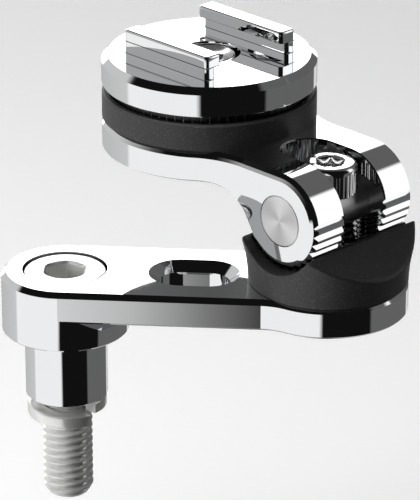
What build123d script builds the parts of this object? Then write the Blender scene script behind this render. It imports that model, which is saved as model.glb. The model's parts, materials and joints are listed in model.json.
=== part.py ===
from build123d import *
from math import acos, atan2, cos, degrees, pi, radians, sin, sqrt, tan
import os

# Two-arm handlebar mount for a phone case, in millimetres, +Z up.
# The origin lies on the axis of the M8 mounting screw, in the plane where its spring
# washer meets the handlebar clamp. +X runs along the lower arm to the swivel axis.

# ---------------------------------------------------------------- driving dimensions
# M8 mounting screw, sleeve and spring washer
m8_thread = 8.0
m8_shank = 7.6
m8_length = 30.0
m8_head_diameter = 13.0
m8_head_height = 8.0
m8_head_chamfer = 0.5
m8_socket = 6.0
m8_socket_depth = 4.0
m8_tip_chamfer = 1.0
m8_head_sink = 0.6
sleeve_diameter = 13.0
sleeve_length = 11.3
sleeve_chamfer = 0.25
washer_wire_width = 2.2
washer_wire_thickness = 2.0
washer_free_height = 3.98
washer_bore_clearance = 0.1
washer_gap_angle = 8.0
washer_start_angle = -46.0

# Lower arm
arm_boss_height = 9.9
arm_half_width = 10.0
arm_plate_thickness = 5.0
arm_pad_radius = 12.5
arm_waist_radius = 8.0
arm_top_chamfer = 0.8
arm_bottom_chamfer = 0.4
swivel_distance = 41.25
lightening_slot_centre = 20.35
lightening_slot_length = 11.3
lightening_slot_width = 7.1
lightening_slot_chamfer = 1.55
relief_start = 3.2
relief_depth = 2.0
relief_slope = 31.0
relief_wall = 1.6

# Swivel: friction ring, clamp screw M5 and its nut
ring_inner_diameter = 12.0
ring_outer_diameter = 18.0
ring_thickness = 1.0
m5_thread = 5.0
clamp_screw_proud = 0.5
clamp_head_diameter = 8.5
clamp_head_height = 5.0
clamp_socket = 4.0
clamp_socket_depth = 2.5
clamp_head_chamfer = 0.4
clamp_nut_across_flats = 10.0
clamp_nut_flange = 1.5
clamp_nut_hub_wall = 1.45

# Saddle
ear_height_above_arm = 5.07
saddle_flare_radius = 14.0
saddle_flare_bulge = 0.35
saddle_lip_drop = 4.29
saddle_slope = 38.0
saddle_lip_round = 0.6
saddle_base_round = 0.2
liner_thickness = 0.95
liner_rib_depth = 0.3
liner_half_length = 10.2
liner_half_angle = 56.0

# Yoke (upper arm)
rest_swivel = 139.2
ear_radius = 7.6
ear_half_span = 10.95
ear_chamfer = 0.8
slot_rim_chamfer = 0.2
serration_pitch = 12.0
serration_depth = 0.55
serration_count = 9
serration_first = 174.0
pin_diameter = 8.1
pin_end_chamfer = 0.15
pin_seat_height = 1.83
head_edge_distance = 9.45
disc_radius = 17.0
yoke_disc_thickness = 5.1
yoke_neck_radius = 13.0
yoke_underside_radius = 9.0
yoke_underside_angle = 58.5
yoke_underside_inset = 0.54
yoke_bottom_chamfer = 0.3

# Collar and turning head
collar_height = 4.27
collar_edge_chamfer = 0.3
collar_pocket_wall = 0.9
head_gap = 1.3
head_disc_thickness = 4.6
head_disc_chamfer = 1.0
index_ring_height = 2.2
index_ring_width = 4.3
index_tooth_count = 72
index_tooth_depth = 0.4
index_tooth_gap_share = 0.9
detent_ball_diameter = 1.5
detent_count = 3
detent_wire_diameter = 0.3
detent_coils = 4
dowel_diameter = 2.0
dowel_length = 3.0
dowel_circle_radius = 8.5
dowel_angle = 90.0
ring_screw_diameter = 2.0
ring_screw_head_diameter = 3.4
ring_screw_head_height = 0.9
ring_screw_length = 3.6
ring_screw_angle = 60.0
pivot_wall = 0.8
pivot_flange_diameter = 11.0
pivot_flange_thickness = 0.8
head_screw_length = 10.0
head_screw_head_diameter = 8.2
head_screw_head_height = 2.8
head_screw_sink = 0.3
head_screw_socket = 4.0
head_screw_socket_depth = 1.9
head_screw_gap = 0.8
thrust_washer_thickness = 0.5
head_nut_across_flats = 8.0
head_nut_height = 4.0

# Case rails on the head
rail_length = 18.6
rail_height = 3.8
rail_outer_half = 9.7
rail_flange_width = 3.2
rail_web_thickness = 1.95
rail_flange_height = 1.9
rail_corner_radius = 0.6
rail_edge_chamfer = 0.35
rail_base_round = 0.25

# Clearances, radial on round fits
running_clearance = 0.05
pin_clearance = 0.06
hole_clearance = 0.2
seat_clearance = 0.05
turning_clearance = 0.3
rib_clearance = 0.2
trough_clearance = 0.6
slot_clearance = 0.25
slot_end_clearance = 0.65
stack_clearance = 0.02

# How far a cut runs past the face that it starts from or leaves by
overrun = 1.0
short_overrun = 0.1
# Selecting edges and faces: how near counts as level, as parallel and as facing down
level_tolerance = 0.01
parallel_share = 0.99
down_lean = 0.2

# ---------------------------------------------------------------- sizes that follow
pin_height_above_arm = ear_radius + ear_height_above_arm
clamp_screw_length = pin_height_above_arm + pin_seat_height + arm_plate_thickness + clamp_screw_proud
clamp_nut_hub_diameter = m5_thread + 2 * clamp_nut_hub_wall
m8_counterbore_radius = m8_head_diameter / 2 + hole_clearance
saddle_trough_radius = ear_radius + trough_clearance
yoke_underside_distance = ear_radius - yoke_underside_inset
slot_half_width = clamp_head_diameter / 2 + slot_clearance
# The slot ends just past the far corner of the clamp screw's head.
clamp_head_reach = sqrt((pin_seat_height + clamp_head_height) ** 2 + (clamp_head_diameter / 2) ** 2)
slot_end = clamp_head_reach + slot_end_clearance
head_reach = disc_radius + head_edge_distance
index_ring_outer_radius = disc_radius - collar_pocket_wall - turning_clearance
index_ring_inner_radius = index_ring_outer_radius - index_ring_width
detent_circle_radius = (index_ring_outer_radius + index_ring_inner_radius) / 2
pivot_outer_diameter = m5_thread + 2 * hole_clearance + 2 * pivot_wall
head_recess_diameter = head_screw_head_diameter + 2 * head_screw_gap

# ---------------------------------------------------------------- heights and planes
arm_bottom = washer_free_height + sleeve_length + stack_clearance
arm_top = arm_bottom + arm_boss_height
plate_bottom = arm_top - arm_plate_thickness
m8_seat = arm_top - m8_head_sink - m8_head_height
pin_height = arm_top + pin_height_above_arm
yoke_top = pin_height + ear_radius
collar_top = yoke_top + collar_height
head_bottom = collar_top + head_gap
head_top = head_bottom + head_disc_thickness
clamp_seat = pin_height + pin_seat_height
ring_recess = ring_thickness / 2

upper_x = (cos(radians(rest_swivel)), sin(radians(rest_swivel)), 0)
upper_y = (-upper_x[1], upper_x[0], 0)
# Ground plane of the upper assembly: x towards the head, origin on the swivel axis.
upper = Plane(origin=(swivel_distance, 0, 0), x_dir=upper_x, z_dir=(0, 0, 1))
# Vertical plane through the middle of the yoke: x towards the head, y up, origin on the pin axis.
middle = Plane(
    origin=(swivel_distance, 0, pin_height),
    x_dir=upper_x,
    z_dir=(-upper_y[0], -upper_y[1], 0),
)
# Ground plane of the turning head, origin on its axis.
head_axis_point = upper.from_local_coords((head_reach, 0, 0))
head = Plane(origin=head_axis_point, x_dir=upper_x, z_dir=(0, 0, 1))
swivel_axis = Axis((swivel_distance, 0, 0), (0, 0, 1))


def is_level(edge, z):
    """True for an edge that lies whole in the level plane at height z."""
    box = edge.bounding_box()
    return abs(box.min.Z - z) < level_tolerance and abs(box.max.Z - z) < level_tolerance


# ---------------------------------------------------------------- mounting screw stack
m8_tip = m8_seat - m8_length

with BuildPart() as mounting_bolt:
    with BuildSketch(Plane.XY.offset(m8_tip)):
        Circle(m8_thread / 2)
    extrude(amount=-m8_tip)
    chamfer(mounting_bolt.edges().group_by(Axis.Z)[0], m8_tip_chamfer)
    with BuildSketch(Plane.XY):
        Circle(m8_shank / 2)
    extrude(amount=m8_seat)
    with BuildSketch(Plane.XY.offset(m8_seat)):
        Circle(m8_head_diameter / 2)
    extrude(amount=m8_head_height)
    chamfer(mounting_bolt.edges().group_by(Axis.Z)[-1], m8_head_chamfer)
    with BuildSketch(Plane.XY.offset(m8_seat + m8_head_height)):
        RegularPolygon(radius=m8_socket / 2, side_count=6, major_radius=False)
    extrude(amount=-m8_socket_depth, mode=Mode.SUBTRACT)
mounting_bolt.part.label = "mounting_bolt"

with BuildPart() as spacer_sleeve:
    with BuildSketch(Plane.XY.offset(arm_bottom)):
        Circle(sleeve_diameter / 2)
        Circle(m8_thread / 2 + hole_clearance, mode=Mode.SUBTRACT)
    extrude(amount=-sleeve_length)
    outer_edges = spacer_sleeve.edges().filter_by(GeomType.CIRCLE).sort_by(SortBy.RADIUS)[-2:]
    chamfer(outer_edges, sleeve_chamfer)
spacer_sleeve.part.label = "spacer_sleeve"

# Spring washer: a square wire wound left-handed, just short of one full turn.
washer_coil_radius = m8_thread / 2 + washer_bore_clearance + washer_wire_width / 2
washer_rise = washer_free_height - washer_wire_thickness
washer_turn = (360.0 - washer_gap_angle) / 360.0

with BuildPart(Plane.XY.rotated((0, 0, washer_start_angle))) as lock_washer:
    with BuildLine(Plane.XY.offset(washer_wire_thickness / 2)) as washer_coil:
        Helix(washer_rise / washer_turn, washer_rise, washer_coil_radius, lefthand=True)
    with BuildSketch(Plane(origin=washer_coil.line @ 0, x_dir=(1, 0, 0), z_dir=washer_coil.line % 0)):
        Rectangle(washer_wire_width, washer_wire_thickness)
    sweep(path=washer_coil.line, is_frenet=True)
lock_washer.part.label = "lock_washer"

# ---------------------------------------------------------------- lower arm
relief_run = relief_depth / tan(radians(relief_slope))
relief_end = arm_half_width + overrun

# Step under the plate on the arm side of the boss, entered by a ramp.
with BuildPart() as boss_relief:
    with BuildSketch(Plane.XZ):
        with BuildLine():
            Polyline(
                (relief_start, plate_bottom),
                (relief_start + relief_run, plate_bottom - relief_depth),
                (relief_end, plate_bottom - relief_depth),
                (relief_end, plate_bottom),
                close=True,
            )
        make_face()
    extrude(amount=arm_half_width + overrun, both=True)
    with BuildSketch(Plane.XY.offset(plate_bottom - relief_depth)):
        Circle(m8_counterbore_radius + relief_wall)
    extrude(amount=relief_depth, mode=Mode.SUBTRACT)

with BuildPart() as lower_arm:
    with BuildSketch(Plane.XY.offset(plate_bottom)) as arm_outline:
        Circle(arm_half_width)
        with Locations((swivel_distance / 2, 0)):
            Rectangle(swivel_distance, 2 * arm_half_width)
        with Locations((swivel_distance, 0)):
            Circle(arm_pad_radius)
        waist_corners = arm_outline.vertices().filter_by_position(
            Axis.X, swivel_distance / 2, swivel_distance
        )
        fillet(waist_corners, arm_waist_radius)
    extrude(amount=arm_plate_thickness)
    chamfer(lower_arm.faces().sort_by(Axis.Z)[-1].edges(), arm_top_chamfer)
    chamfer(lower_arm.faces().sort_by(Axis.Z)[0].edges(), arm_bottom_chamfer)
    with BuildSketch(Plane.XY.offset(arm_bottom)):
        Circle(arm_half_width)
    extrude(amount=arm_boss_height - arm_top_chamfer)
    chamfer(lower_arm.edges().group_by(Axis.Z)[0], sleeve_chamfer)
    add(boss_relief.part, mode=Mode.SUBTRACT)
    with Locations((0, 0, arm_top)):
        CounterBoreHole(
            radius=m8_thread / 2 + hole_clearance,
            counter_bore_radius=m8_counterbore_radius,
            counter_bore_depth=m8_head_sink + m8_head_height,
        )
    with BuildSketch(Plane.XY.offset(arm_top)):
        with Locations((lightening_slot_centre, 0)):
            SlotOverall(lightening_slot_length, lightening_slot_width)
    extrude(amount=-arm_plate_thickness, mode=Mode.SUBTRACT)
    slot_rim = (
        lower_arm.edges()
        .filter_by(lambda edge: is_level(edge, arm_top))
        .filter_by_position(
            Axis.X,
            lightening_slot_centre - lightening_slot_length / 2,
            lightening_slot_centre + lightening_slot_length / 2,
        )
        .filter_by(lambda edge: abs(edge.center().Y) < lightening_slot_width / 2 + short_overrun)
    )
    chamfer(slot_rim, lightening_slot_chamfer)
    with BuildSketch(upper.offset(plate_bottom)):
        Circle(clamp_nut_hub_diameter / 2 + running_clearance)
    extrude(amount=arm_plate_thickness, mode=Mode.SUBTRACT)
    with BuildSketch(upper.offset(plate_bottom)):
        RegularPolygon(clamp_nut_across_flats / 2 + seat_clearance, 6, major_radius=False)
    extrude(amount=clamp_nut_flange, mode=Mode.SUBTRACT)
    with BuildSketch(upper.offset(arm_top)):
        Circle(ring_outer_diameter / 2 + seat_clearance)
        Circle(ring_inner_diameter / 2 - seat_clearance, mode=Mode.SUBTRACT)
    extrude(amount=-ring_recess, mode=Mode.SUBTRACT)
lower_arm.part.label = "lower_arm"

with BuildPart() as clamp_nut:
    with BuildSketch(upper.offset(plate_bottom)):
        RegularPolygon(clamp_nut_across_flats / 2, 6, major_radius=False)
    extrude(amount=clamp_nut_flange)
    with BuildSketch(upper.offset(plate_bottom + clamp_nut_flange)):
        Circle(clamp_nut_hub_diameter / 2)
    extrude(amount=arm_plate_thickness - clamp_nut_flange - seat_clearance)
    with BuildSketch(upper.offset(plate_bottom)):
        Circle(m5_thread / 2 + running_clearance)
    extrude(amount=arm_plate_thickness, mode=Mode.SUBTRACT)
clamp_nut.part.label = "clamp_nut"

with BuildPart() as swivel_ring:
    with BuildSketch(upper.offset(arm_top - ring_recess)):
        Circle(ring_outer_diameter / 2)
        Circle(ring_inner_diameter / 2, mode=Mode.SUBTRACT)
    extrude(amount=ring_thickness)
swivel_ring.part.label = "swivel_ring"

# ---------------------------------------------------------------- saddle
saddle_height = pin_height_above_arm - saddle_lip_drop
saddle_lip_edge = sqrt(saddle_trough_radius**2 - saddle_lip_drop**2)
slope_run = saddle_flare_radius + overrun
slope_foot = -saddle_lip_drop - (slope_run - saddle_lip_edge) * tan(radians(saddle_slope))
liner_inner_radius = ear_radius + rib_clearance
liner_outer_radius = liner_inner_radius + liner_thickness
saddle_radial = Plane(origin=(swivel_distance, 0, arm_top), x_dir=upper_x, z_dir=middle.z_dir)

with BuildPart() as saddle:
    with BuildSketch(saddle_radial):
        with BuildLine():
            Polyline((0, saddle_height), (0, 0), (arm_pad_radius, 0))
            ThreePointArc(
                (arm_pad_radius, 0),
                ((arm_pad_radius + saddle_flare_radius) / 2 - saddle_flare_bulge, saddle_height / 2),
                (saddle_flare_radius, saddle_height),
            )
            Line((saddle_flare_radius, saddle_height), (0, saddle_height))
        make_face()
    revolve(axis=swivel_axis)
    # Two slopes fall away from the lips of the trough that the ears lie in.
    with BuildSketch(middle) as saddle_side:
        with BuildLine():
            Polyline(
                (-saddle_lip_edge, -saddle_lip_drop),
                (-slope_run, slope_foot),
                (-slope_run, -pin_height_above_arm),
                (slope_run, -pin_height_above_arm),
                (slope_run, slope_foot),
                (saddle_lip_edge, -saddle_lip_drop),
            )
            RadiusArc(
                (saddle_lip_edge, -saddle_lip_drop),
                (-saddle_lip_edge, -saddle_lip_drop),
                saddle_trough_radius,
            )
        make_face()
        lips = saddle_side.vertices().filter_by(
            lambda vertex: abs(vertex.Y + saddle_lip_drop) < level_tolerance
        )
        fillet(lips, saddle_lip_round)
    extrude(amount=2 * saddle_flare_radius, both=True, mode=Mode.INTERSECT)
    fillet(saddle.edges().filter_by(lambda edge: is_level(edge, arm_top)), saddle_base_round)
    with BuildSketch(middle):
        Circle(liner_outer_radius + seat_clearance)
    extrude(amount=liner_half_length + seat_clearance, both=True, mode=Mode.SUBTRACT)
    with BuildSketch(upper.offset(arm_top)):
        Circle(m5_thread / 2 + hole_clearance)
    extrude(amount=saddle_height, mode=Mode.SUBTRACT)
    with BuildSketch(upper.offset(arm_top)):
        Circle(ring_outer_diameter / 2 + seat_clearance)
        Circle(ring_inner_diameter / 2 - seat_clearance, mode=Mode.SUBTRACT)
    extrude(amount=ring_thickness - ring_recess, mode=Mode.SUBTRACT)
saddle.part.label = "saddle"

# Liner: a ribbed half shell bedded in the trough, under the ears.
liner_valleys = int(2 * liner_half_angle / serration_pitch)

with BuildPart() as saddle_liner:
    with BuildSketch(middle):
        with BuildLine():
            CenterArc((0, 0), liner_outer_radius, 270 - liner_half_angle, 2 * liner_half_angle)
            CenterArc((0, 0), liner_inner_radius, 270 - liner_half_angle, 2 * liner_half_angle)
            for side in (-1, 1):
                direction = radians(270 + side * liner_half_angle)
                Line(
                    (liner_inner_radius * cos(direction), liner_inner_radius * sin(direction)),
                    (liner_outer_radius * cos(direction), liner_outer_radius * sin(direction)),
                )
        make_face()
        # V-shaped valleys between the ribs, on the same pitch as the ears.
        for step in range(liner_valleys):
            angle = 270 + (step - (liner_valleys - 1) / 2) * serration_pitch
            with PolarLocations(liner_inner_radius, 1, start_angle=angle):
                Rectangle(2 * liner_rib_depth, 2 * liner_rib_depth, rotation=45, mode=Mode.SUBTRACT)
    extrude(amount=liner_half_length, both=True)
    with BuildSketch(upper.offset(arm_top)):
        Circle(m5_thread / 2 + hole_clearance)
    extrude(amount=pin_height_above_arm, mode=Mode.SUBTRACT)
saddle_liner.part.label = "saddle_liner"

# ---------------------------------------------------------------- cross pin and clamp screw
with BuildPart() as cross_pin:
    with BuildSketch(middle):
        Circle(pin_diameter / 2)
    extrude(amount=ear_half_span, both=True)
    pin_rims = cross_pin.edges().filter_by(GeomType.CIRCLE)
    chamfer(pin_rims, pin_end_chamfer)
    with BuildSketch(upper.offset(clamp_seat)):
        Circle(clamp_head_diameter / 2 + running_clearance)
    extrude(amount=pin_diameter, mode=Mode.SUBTRACT)
    with BuildSketch(upper.offset(pin_height)):
        Circle(m5_thread / 2 + hole_clearance)
    extrude(amount=pin_diameter, both=True, mode=Mode.SUBTRACT)
cross_pin.part.label = "cross_pin"

with BuildPart() as clamp_screw:
    with BuildSketch(upper.offset(clamp_seat)):
        Circle(clamp_head_diameter / 2)
    extrude(amount=clamp_head_height)
    chamfer(clamp_screw.edges().group_by(Axis.Z)[-1], clamp_head_chamfer)
    with BuildSketch(upper.offset(clamp_seat)):
        Circle(m5_thread / 2)
    extrude(amount=-clamp_screw_length)
    chamfer(clamp_screw.edges().group_by(Axis.Z)[0], clamp_head_chamfer)
    with BuildSketch(upper.offset(clamp_seat + clamp_head_height)):
        RegularPolygon(clamp_socket / 2, 6, major_radius=False)
    extrude(amount=-clamp_socket_depth, mode=Mode.SUBTRACT)
clamp_screw.part.label = "clamp_screw"

# ---------------------------------------------------------------- yoke
# Side outline: flat top, round ear, straight flank and a hollow running out under the disc.
flank_normal = radians(yoke_underside_angle - 90)
ear_exit = flank_normal - acos(yoke_underside_distance / ear_radius)
ear_exit_point = (ear_radius * cos(ear_exit), ear_radius * sin(ear_exit))
disc_underside = ear_radius - yoke_disc_thickness
flank_top_x = (yoke_underside_distance - disc_underside * sin(flank_normal)) / cos(flank_normal)
disc_far_x = head_reach + disc_radius
# Level outline: the neck's hollow sides touch the ears' flat faces and the round disc.
neck_centre_y = ear_half_span + yoke_neck_radius
neck_centre_x = head_reach - sqrt((disc_radius + yoke_neck_radius) ** 2 - neck_centre_y**2)
neck_share = disc_radius / (disc_radius + yoke_neck_radius)
neck_touch_x = head_reach + (neck_centre_x - head_reach) * neck_share
neck_touch_y = neck_centre_y * neck_share

# The yoke is shaped in its own frame: origin on the pin axis, x towards the head, z up.
with BuildPart() as yoke_shape:
    with BuildSketch(Plane.XZ):
        with BuildLine():
            Line((disc_far_x, ear_radius), (0, ear_radius))
            CenterArc((0, 0), ear_radius, 90, 270 + degrees(ear_exit))
            FilletPolyline(
                ear_exit_point,
                (flank_top_x, disc_underside),
                (disc_far_x, disc_underside),
                radius=yoke_underside_radius,
            )
            Line((disc_far_x, disc_underside), (disc_far_x, ear_radius))
        make_face()
    extrude(amount=disc_radius, both=True)
    with BuildSketch(Plane.XY.offset(-2 * ear_radius)):
        with BuildLine():
            Polyline(
                (neck_centre_x, ear_half_span),
                (-2 * ear_radius, ear_half_span),
                (-2 * ear_radius, -ear_half_span),
                (neck_centre_x, -ear_half_span),
            )
            for side in (-1, 1):
                RadiusArc(
                    (neck_centre_x, side * ear_half_span),
                    (neck_touch_x, side * neck_touch_y),
                    -side * yoke_neck_radius,
                )
            ThreePointArc((neck_touch_x, -neck_touch_y), (disc_far_x, 0), (neck_touch_x, neck_touch_y))
        make_face()
    extrude(amount=4 * ear_radius, mode=Mode.INTERSECT)
    # The broad bevel follows the top rim and runs on round both ears.
    broad_rim = yoke_shape.edges().filter_by(
        lambda edge: (is_level(edge, ear_radius) and abs((edge % 0.5).Y) < parallel_share)
        or (edge.geom_type == GeomType.CIRCLE and abs(edge.radius - ear_radius) < level_tolerance)
    )
    chamfer(broad_rim, ear_chamfer)
    # A fine bevel follows the underside, from the ears out round the disc.
    underside = yoke_shape.faces().filter_by(
        lambda face: face.normal_at().Z < -down_lean and face.center().X > ear_exit_point[0]
    )
    underside_rim = underside.edges().filter_by(lambda edge: abs((edge % 0.5).Y) < parallel_share)
    chamfer(underside_rim, yoke_bottom_chamfer)
    # Open slot for the clamp screw, round at its closed end.
    with BuildSketch(Plane.XY.offset(-2 * ear_radius)):
        with Locations((slot_end - slot_half_width, 0)):
            Circle(slot_half_width)
        with Locations(((slot_end - slot_half_width) / 2 - ear_radius, 0)):
            Rectangle(slot_end - slot_half_width + 2 * ear_radius, 2 * slot_half_width)
    extrude(amount=4 * ear_radius, mode=Mode.SUBTRACT)
    yoke_slot_rim = yoke_shape.edges().filter_by(
        lambda edge: is_level(edge, ear_radius)
        and abs((edge % 0.5).Y) < parallel_share
        and abs(edge.center().Y) < slot_half_width + short_overrun
        and edge.center().X < slot_end
    )
    chamfer(yoke_slot_rim, slot_rim_chamfer)
    # V grooves across the ears, parallel to the pin.
    with BuildSketch(Plane.XZ):
        for step in range(serration_count):
            with PolarLocations(ear_radius, 1, start_angle=serration_first + step * serration_pitch):
                Rectangle(sqrt(2) * serration_depth, sqrt(2) * serration_depth, rotation=45)
    extrude(amount=disc_radius, both=True, mode=Mode.SUBTRACT)
    with BuildSketch(Plane.XZ):
        Circle(pin_diameter / 2 + pin_clearance)
    extrude(amount=disc_radius, both=True, mode=Mode.SUBTRACT)

with BuildPart() as yoke:
    with Locations(upper.offset(pin_height)):
        add(yoke_shape.part)
    with BuildSketch(head.offset(yoke_top)):
        RegularPolygon(head_nut_across_flats / 2 + seat_clearance, 6, major_radius=False)
    extrude(amount=-head_nut_height, mode=Mode.SUBTRACT)
    with BuildSketch(head.offset(yoke_top)):
        with PolarLocations(dowel_circle_radius, 2, start_angle=dowel_angle):
            Circle(dowel_diameter / 2)
    extrude(amount=-dowel_length / 2, mode=Mode.SUBTRACT)
yoke.part.label = "yoke"

with BuildPart() as head_nut:
    with BuildSketch(head.offset(yoke_top - head_nut_height)):
        RegularPolygon(head_nut_across_flats / 2, 6, major_radius=False)
        Circle(m5_thread / 2 + running_clearance, mode=Mode.SUBTRACT)
    extrude(amount=head_nut_height)
head_nut.part.label = "head_nut"

# ---------------------------------------------------------------- collar and click stops
head_seat = head_top - head_screw_sink - head_screw_head_height
flange_bottom = yoke_top + collar_height / 2
ring_bottom = head_bottom - index_ring_height
pocket_floor = ring_bottom - running_clearance
pocket_radius = index_ring_outer_radius + turning_clearance
sleeve_top = head_seat - thrust_washer_thickness

with BuildPart() as collar:
    with BuildSketch(head.offset(yoke_top)):
        Circle(disc_radius)
    extrude(amount=collar_height)
    chamfer(collar.edges().group_by(Axis.Z)[-1], collar_edge_chamfer)
    with BuildSketch(head.offset(pocket_floor)):
        Circle(pocket_radius)
        Circle(index_ring_inner_radius - turning_clearance, mode=Mode.SUBTRACT)
    extrude(amount=collar_height, mode=Mode.SUBTRACT)
    with BuildSketch(head.offset(flange_bottom)):
        Circle(pivot_flange_diameter / 2 + seat_clearance)
    extrude(amount=collar_height, mode=Mode.SUBTRACT)
    with BuildSketch(head.offset(yoke_top)):
        Circle(pivot_outer_diameter / 2 + seat_clearance)
        with PolarLocations(dowel_circle_radius, 2, start_angle=dowel_angle):
            Circle(dowel_diameter / 2)
    extrude(amount=dowel_length / 2, mode=Mode.SUBTRACT)
    with BuildSketch(head.offset(yoke_top)):
        Circle(pivot_outer_diameter / 2 + seat_clearance)
        with PolarLocations(detent_circle_radius, detent_count):
            Circle(detent_ball_diameter / 2 + running_clearance)
    extrude(amount=collar_height, mode=Mode.SUBTRACT)
collar.part.label = "collar"

with BuildPart() as collar_dowels:
    with BuildSketch(head.offset(yoke_top - dowel_length / 2)):
        with PolarLocations(dowel_circle_radius, 2, start_angle=dowel_angle):
            Circle(dowel_diameter / 2)
    extrude(amount=dowel_length)
collar_dowels.part.label = "collar_dowels"

# Flanged sleeve: the head screw clamps it down on the collar, and the head turns round it.
with BuildPart() as pivot_sleeve:
    with BuildSketch(head.offset(yoke_top)):
        Circle(pivot_outer_diameter / 2)
    extrude(amount=sleeve_top - yoke_top)
    with BuildSketch(head.offset(flange_bottom)):
        Circle(pivot_flange_diameter / 2)
    extrude(amount=pivot_flange_thickness)
    with BuildSketch(head.offset(yoke_top)):
        Circle(m5_thread / 2 + hole_clearance)
    extrude(amount=sleeve_top - yoke_top, mode=Mode.SUBTRACT)
pivot_sleeve.part.label = "pivot_sleeve"

with BuildPart() as thrust_washer:
    with BuildSketch(head.offset(sleeve_top)):
        Circle(head_screw_head_diameter / 2)
        Circle(m5_thread / 2 + hole_clearance, mode=Mode.SUBTRACT)
    extrude(amount=thrust_washer_thickness)
thrust_washer.part.label = "thrust_washer"

with BuildPart() as head_screw:
    with BuildSketch(head.offset(head_seat)):
        Circle(head_screw_head_diameter / 2)
    extrude(amount=head_screw_head_height)
    chamfer(head_screw.edges().group_by(Axis.Z)[-1], clamp_head_chamfer / 2)
    with BuildSketch(head.offset(head_seat)):
        Circle(m5_thread / 2)
    extrude(amount=-head_screw_length)
    chamfer(head_screw.edges().group_by(Axis.Z)[0], clamp_head_chamfer)
    with BuildSketch(head.offset(head_top - head_screw_sink)):
        RegularPolygon(head_screw_socket / 2, 6, major_radius=False)
    extrude(amount=-head_screw_socket_depth, mode=Mode.SUBTRACT)
head_screw.part.label = "head_screw"

# Index ring: face teeth on its underside, one click every few degrees.
tooth_half_width = index_tooth_gap_share * pi * index_ring_inner_radius / index_tooth_count

with BuildPart() as tooth_gap:
    with BuildSketch(Plane.YZ.offset(index_ring_inner_radius - short_overrun)):
        with BuildLine():
            Polyline((-tooth_half_width, 0), (0, index_tooth_depth), (tooth_half_width, 0), close=True)
        make_face()
    extrude(amount=index_ring_width + overrun)

with BuildPart() as index_ring:
    with BuildSketch(head.offset(ring_bottom)):
        Circle(index_ring_outer_radius)
        Circle(index_ring_inner_radius, mode=Mode.SUBTRACT)
    extrude(amount=index_ring_height)
    with Locations(head.offset(ring_bottom)):
        with PolarLocations(0, index_tooth_count):
            add(tooth_gap.part, mode=Mode.SUBTRACT)
    with BuildSketch(head.offset(ring_bottom)):
        with PolarLocations(detent_circle_radius, detent_count, start_angle=ring_screw_angle):
            Circle(ring_screw_head_diameter / 2 + seat_clearance)
    extrude(amount=ring_screw_head_height + index_tooth_depth, mode=Mode.SUBTRACT)
    with BuildSketch(head.offset(ring_bottom)):
        with PolarLocations(detent_circle_radius, detent_count, start_angle=ring_screw_angle):
            Circle(ring_screw_diameter / 2 + seat_clearance)
    extrude(amount=index_ring_height, mode=Mode.SUBTRACT)
index_ring.part.label = "index_ring"

ring_screw_seat = ring_bottom + index_tooth_depth + ring_screw_head_height

with BuildPart() as ring_screws:
    with BuildSketch(head.offset(ring_screw_seat - ring_screw_head_height)):
        with PolarLocations(detent_circle_radius, detent_count, start_angle=ring_screw_angle):
            Circle(ring_screw_head_diameter / 2)
    extrude(amount=ring_screw_head_height)
    with BuildSketch(head.offset(ring_screw_seat)):
        with PolarLocations(detent_circle_radius, detent_count, start_angle=ring_screw_angle):
            Circle(ring_screw_diameter / 2)
    extrude(amount=ring_screw_length)
ring_screws.part.label = "ring_screws"

# Each ball stands just clear of the two flanks of a tooth gap.
flank_angle = atan2(index_tooth_depth, tooth_half_width)
ball_drop = (detent_ball_diameter / 2 + running_clearance) / cos(flank_angle)
ball_height = ring_bottom + index_tooth_depth - ball_drop

with BuildPart() as detent_balls:
    with Locations(head.offset(ball_height)):
        with PolarLocations(detent_circle_radius, detent_count):
            Sphere(detent_ball_diameter / 2)
detent_balls.part.label = "detent_balls"

spring_height = ball_height - detent_ball_diameter / 2 - yoke_top - detent_wire_diameter - running_clearance

with BuildPart() as detent_spring:
    with BuildLine(Plane.XY.offset(detent_wire_diameter / 2)) as spring_coil:
        Helix(
            pitch=spring_height / detent_coils,
            height=spring_height,
            radius=detent_ball_diameter / 2 - detent_wire_diameter / 2,
        )
    with BuildSketch(Plane(origin=spring_coil.line @ 0, z_dir=spring_coil.line % 0)):
        Circle(detent_wire_diameter / 2)
    sweep(path=spring_coil.line, is_frenet=True)

with BuildPart() as detent_springs:
    with Locations(head.offset(yoke_top)):
        with PolarLocations(detent_circle_radius, detent_count):
            add(detent_spring.part)
detent_springs.part.label = "detent_springs"

# ---------------------------------------------------------------- turning head
with BuildPart() as head_plate:
    with BuildSketch(head.offset(head_bottom)):
        Circle(disc_radius)
    extrude(amount=head_disc_thickness)
    chamfer(head_plate.edges().group_by(Axis.Z)[-1], head_disc_chamfer)
    with BuildSketch(head.offset(head_top)):
        for side in (-1, 1):
            with Locations((0, side * (rail_outer_half - rail_flange_width / 2))):
                RectangleRounded(rail_length, rail_flange_width, rail_corner_radius)
    extrude(amount=rail_height)
    chamfer(head_plate.edges().group_by(Axis.Z)[-1], rail_edge_chamfer)
    with BuildSketch(head.offset(head_top)):
        Rectangle(2 * rail_length, 2 * (rail_outer_half - rail_web_thickness))
    extrude(amount=rail_height - rail_flange_height, mode=Mode.SUBTRACT)
    rail_feet = head_plate.edges().filter_by(
        lambda edge: is_level(edge, head_top)
        and not (edge.geom_type == GeomType.CIRCLE and edge.radius > rail_outer_half)
    )
    fillet(rail_feet, rail_base_round)
    with BuildSketch(head.offset(sleeve_top - running_clearance)):
        Circle(head_recess_diameter / 2)
    extrude(amount=head_disc_thickness, mode=Mode.SUBTRACT)
    with BuildSketch(head.offset(head_bottom)):
        Circle(pivot_outer_diameter / 2 + running_clearance)
    extrude(amount=head_disc_thickness, mode=Mode.SUBTRACT)
    with BuildSketch(head.offset(head_bottom)):
        with PolarLocations(detent_circle_radius, detent_count, start_angle=ring_screw_angle):
            Circle(ring_screw_diameter / 2)
    extrude(amount=ring_screw_seat + ring_screw_length - head_bottom, mode=Mode.SUBTRACT)
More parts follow.
